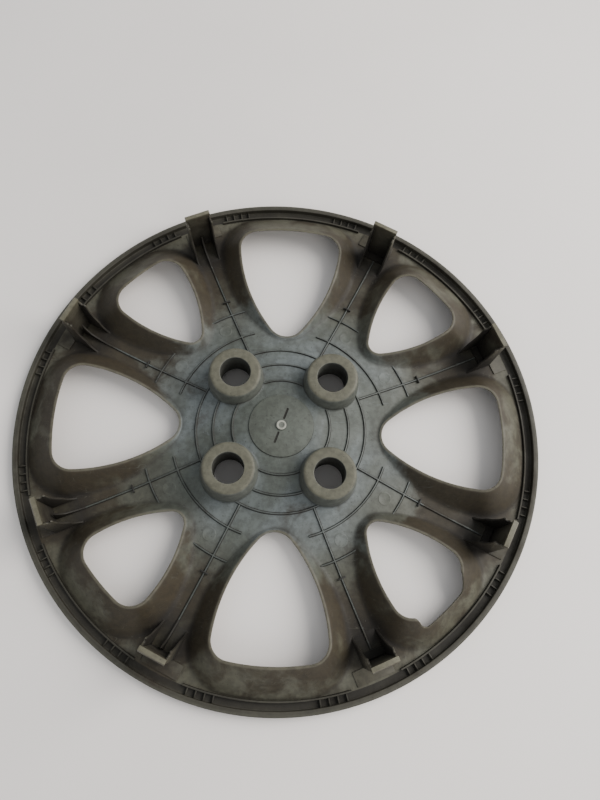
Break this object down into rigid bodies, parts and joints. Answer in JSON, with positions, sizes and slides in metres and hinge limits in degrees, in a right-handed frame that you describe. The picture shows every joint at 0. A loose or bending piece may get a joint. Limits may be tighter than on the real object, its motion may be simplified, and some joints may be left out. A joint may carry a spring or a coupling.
{
  "type": "wheel cover",
  "caption": "Round eight-spoke plastic wheel cover lying face down, with lug sleeves, stiffening ribs and springing retaining clips on its wheel side.",
  "frame": {"origin": "on the cover's axis, on the plane that its front face rests on", "axes": "+Z along the axis towards the wheel side; +X and +Y through the middles of two wide windows; the valve notch lies between +X and -Y"},
  "size_m": [0.3896, 0.3896, 0.0436],
  "materials": {
    "hub": "dusty, brake-stained moulded plastic",
    "spoke": "dusty, brake-stained moulded plastic",
    "rim": "dusty, brake-stained moulded plastic",
    "sleeve": "dusty, brake-stained moulded plastic",
    "rib": "dusty, brake-stained moulded plastic",
    "clip": "dusty, brake-stained moulded plastic",
    "tongue": "dusty, brake-stained moulded plastic"
  },
  "bodies": {
    "cover": {"hub_shell": "hub", "spoke_1": "spoke", "spoke_2": "spoke", "spoke_3": "spoke", "spoke_4": "spoke", "spoke_5": "spoke", "spoke_6": "spoke", "spoke_7": "spoke", "spoke_8": "spoke", "rim_band_1": "rim", "rim_band_2": "rim", "rim_band_3": "rim", "rim_band_4": "rim", "rim_band_5": "rim", "rim_band_6": "rim", "rim_band_7": "rim", "rim_band_8": "rim", "rim_bead": "rim", "lug_sleeve_1": "sleeve", "lug_sleeve_2": "sleeve", "lug_sleeve_3": "sleeve", "lug_sleeve_4": "sleeve", "centre_disc": "hub", "gate_pip": "hub", "hub_ring_small": "rib", "hub_ring_middle": "rib", "hub_ring_large": "rib", "spoke_arc_ribs": "rib", "spoke_cross_ribs": "rib", "spoke_rib_1": "rib", "spoke_rib_2": "rib", "spoke_rib_3": "rib", "spoke_rib_4": "rib", "spoke_rib_5": "rib", "spoke_rib_6": "rib", "spoke_rib_7": "rib", "spoke_rib_8": "rib", "clip_frame_1": "clip", "clip_frame_2": "clip", "clip_frame_3": "clip", "clip_frame_4": "clip", "clip_frame_5": "clip", "clip_frame_6": "clip", "clip_frame_7": "clip", "clip_frame_8": "clip", "rim_seat_ribs": "rim", "rim_ladder_ribs": "rim"},
    "tongue_1": {"clip_tongue_1": "tongue"},
    "tongue_2": {"clip_tongue_2": "tongue"},
    "tongue_3": {"clip_tongue_3": "tongue"},
    "tongue_4": {"clip_tongue_4": "tongue"},
    "tongue_5": {"clip_tongue_5": "tongue"},
    "tongue_6": {"clip_tongue_6": "tongue"},
    "tongue_7": {"clip_tongue_7": "tongue"},
    "tongue_8": {"clip_tongue_8": "tongue"}
  },
  "joints": [
    {"name": "clip_flex_1", "type": "hinge", "parent": "cover", "child": "tongue_1", "pos_m": [0.15659, 0.07236, 0.0037], "axis": [0.4195, -0.9078, 0], "range_deg": [0, 6], "stiffness_Nm_per_rad": 1.5},
    {"name": "clip_flex_2", "type": "hinge", "parent": "cover", "child": "tongue_2", "pos_m": [0.07236, 0.15659, 0.0037], "axis": [0.9078, -0.4195, 0], "range_deg": [0, 6], "stiffness_Nm_per_rad": 1.5},
    {"name": "clip_flex_3", "type": "hinge", "parent": "cover", "child": "tongue_3", "pos_m": [-0.07236, 0.15659, 0.0037], "axis": [0.9078, 0.4195, 0], "range_deg": [0, 6], "stiffness_Nm_per_rad": 1.5},
    {"name": "clip_flex_4", "type": "hinge", "parent": "cover", "child": "tongue_4", "pos_m": [-0.15659, 0.07236, 0.0037], "axis": [0.4195, 0.9078, 0], "range_deg": [0, 6], "stiffness_Nm_per_rad": 1.5},
    {"name": "clip_flex_5", "type": "hinge", "parent": "cover", "child": "tongue_5", "pos_m": [-0.15659, -0.07236, 0.0037], "axis": [-0.4195, 0.9078, 0], "range_deg": [0, 6], "stiffness_Nm_per_rad": 1.5},
    {"name": "clip_flex_6", "type": "hinge", "parent": "cover", "child": "tongue_6", "pos_m": [-0.07236, -0.15659, 0.0037], "axis": [-0.9078, 0.4195, 0], "range_deg": [0, 6], "stiffness_Nm_per_rad": 1.5},
    {"name": "clip_flex_7", "type": "hinge", "parent": "cover", "child": "tongue_7", "pos_m": [0.07236, -0.15659, 0.0037], "axis": [-0.9078, -0.4195, 0], "range_deg": [0, 6], "stiffness_Nm_per_rad": 1.5},
    {"name": "clip_flex_8", "type": "hinge", "parent": "cover", "child": "tongue_8", "pos_m": [0.15659, -0.07236, 0.0037], "axis": [-0.4195, -0.9078, 0], "range_deg": [0, 6], "stiffness_Nm_per_rad": 1.5}
  ]
}
